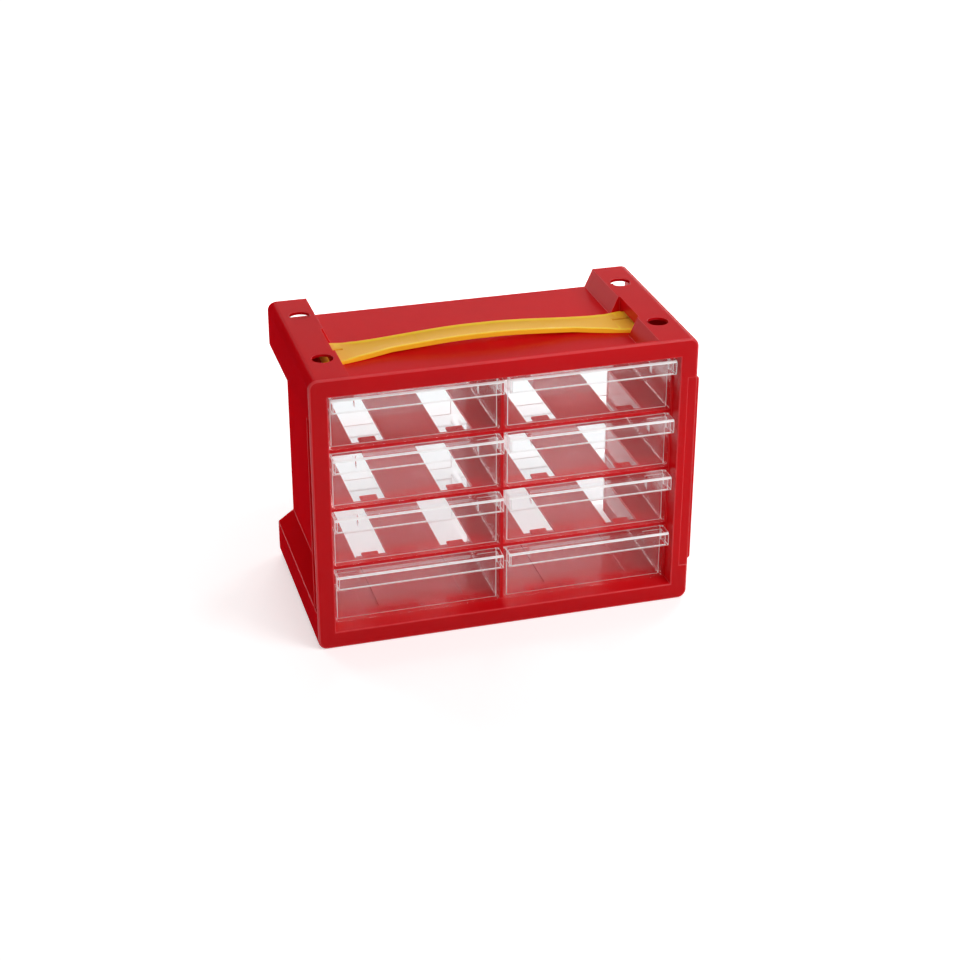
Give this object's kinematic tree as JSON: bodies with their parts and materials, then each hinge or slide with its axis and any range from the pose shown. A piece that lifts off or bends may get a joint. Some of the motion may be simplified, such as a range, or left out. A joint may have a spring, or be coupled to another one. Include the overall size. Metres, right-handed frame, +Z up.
{
  "type": "compartment organizer box",
  "caption": "Portable small-parts cabinet: a moulded frame holds columns of clear sliding drawers, with a carry strap between two raised rails on top.",
  "frame": {"origin": "on the floor under the middle of the cabinet; the tongue on the right side stands out past it", "axes": "+X to the right as seen from the front, +Y towards the back, +Z up; drawers open towards -Y"},
  "size_m": [0.303, 0.16, 0.225],
  "materials": {
    "red_plastic": "semi-gloss moulded polypropylene",
    "clear_plastic": "clear moulded polystyrene, glossy",
    "yellow_plastic": "satin moulded flexible plastic"
  },
  "bodies": {
    "cabinet": {"front_bezel": "red_plastic", "left_side_wall": "red_plastic", "right_side_wall": "red_plastic", "left_foot": "red_plastic", "right_foot": "red_plastic", "left_rail": "red_plastic", "right_rail": "red_plastic", "roof_plate": "red_plastic", "bottom_plate": "red_plastic", "divider": "red_plastic", "left_shelf_1": "red_plastic", "right_shelf_1": "red_plastic", "left_shelf_2": "red_plastic", "right_shelf_2": "red_plastic", "left_shelf_3": "red_plastic", "right_shelf_3": "red_plastic"},
    "left_drawer_1": {"left_drawer_1": "clear_plastic"},
    "right_drawer_1": {"right_drawer_1": "clear_plastic"},
    "left_drawer_2": {"left_drawer_2": "clear_plastic"},
    "right_drawer_2": {"right_drawer_2": "clear_plastic"},
    "left_drawer_3": {"left_drawer_3": "clear_plastic"},
    "right_drawer_3": {"right_drawer_3": "clear_plastic"},
    "left_drawer_4": {"left_drawer_4": "clear_plastic"},
    "right_drawer_4": {"right_drawer_4": "clear_plastic"},
    "carry_strap": {"carry_strap": "yellow_plastic"}
  },
  "joints": [
    {"name": "left_drawer_1_slide", "type": "slide", "parent": "cabinet", "child": "left_drawer_1", "axis": [0, -1, 0], "range_m": [0, 0.1118]},
    {"name": "right_drawer_1_slide", "type": "slide", "parent": "cabinet", "child": "right_drawer_1", "axis": [0, -1, 0], "range_m": [0, 0.1118]},
    {"name": "left_drawer_2_slide", "type": "slide", "parent": "cabinet", "child": "left_drawer_2", "axis": [0, -1, 0], "range_m": [0, 0.1118]},
    {"name": "right_drawer_2_slide", "type": "slide", "parent": "cabinet", "child": "right_drawer_2", "axis": [0, -1, 0], "range_m": [0, 0.1118]},
    {"name": "left_drawer_3_slide", "type": "slide", "parent": "cabinet", "child": "left_drawer_3", "axis": [0, -1, 0], "range_m": [0, 0.1118]},
    {"name": "right_drawer_3_slide", "type": "slide", "parent": "cabinet", "child": "right_drawer_3", "axis": [0, -1, 0], "range_m": [0, 0.1118]},
    {"name": "left_drawer_4_slide", "type": "slide", "parent": "cabinet", "child": "left_drawer_4", "axis": [0, -1, 0], "range_m": [0, 0.1118]},
    {"name": "right_drawer_4_slide", "type": "slide", "parent": "cabinet", "child": "right_drawer_4", "axis": [0, -1, 0], "range_m": [0, 0.1118]},
    {"name": "carry_strap_lift", "type": "slide", "parent": "cabinet", "child": "carry_strap", "axis": [0, 0, 1], "range_m": [0, 0.0015]}
  ]
}
